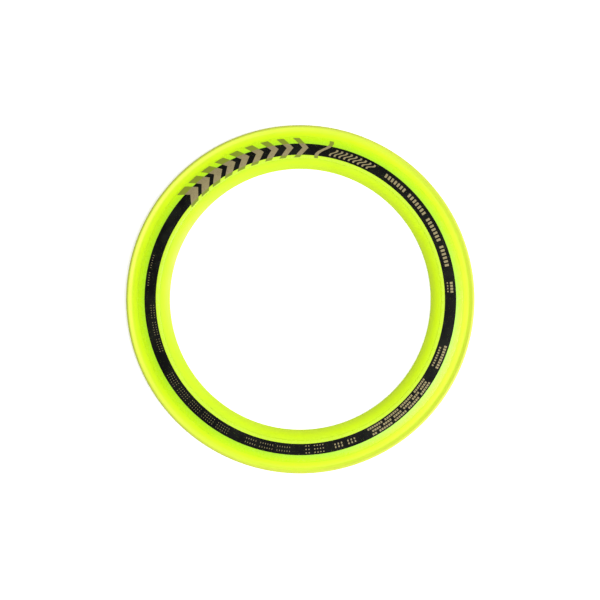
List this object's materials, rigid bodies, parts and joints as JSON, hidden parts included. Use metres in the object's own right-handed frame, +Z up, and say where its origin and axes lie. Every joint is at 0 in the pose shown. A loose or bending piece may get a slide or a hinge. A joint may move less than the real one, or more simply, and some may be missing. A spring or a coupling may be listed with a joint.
{
  "type": "flying ring",
  "caption": "Thin round throwing ring with a crowned hard core, soft inner and outer edges, a raised spoiler lip and a dark printed band; it is thrown flat and spinning.",
  "frame": {"origin": "centre of the ring, on the flat plane that its two rubber undersides lie on", "axes": "+Z up along the ring's spin axis, out of the printed top face; +X and +Y across the ring, with the start of the printed marks at the upper left seen from above"},
  "size_m": [0.254, 0.254, 0.0036],
  "materials": {
    "core_plastic": "translucent fluorescent yellow-green polycarbonate, moulded gloss",
    "edge_rubber": "translucent fluorescent yellow thermoplastic rubber, satin",
    "band_foil": "black stamped foil, satin",
    "mark_foil": "tan metallic ink, used for the printed marks on the band"
  },
  "bodies": {
    "root": {"core_ring": "core_plastic", "outer_bumper": "edge_rubber", "inner_bumper": "edge_rubber", "print_band": "band_foil"}
  },
  "joints": []
}
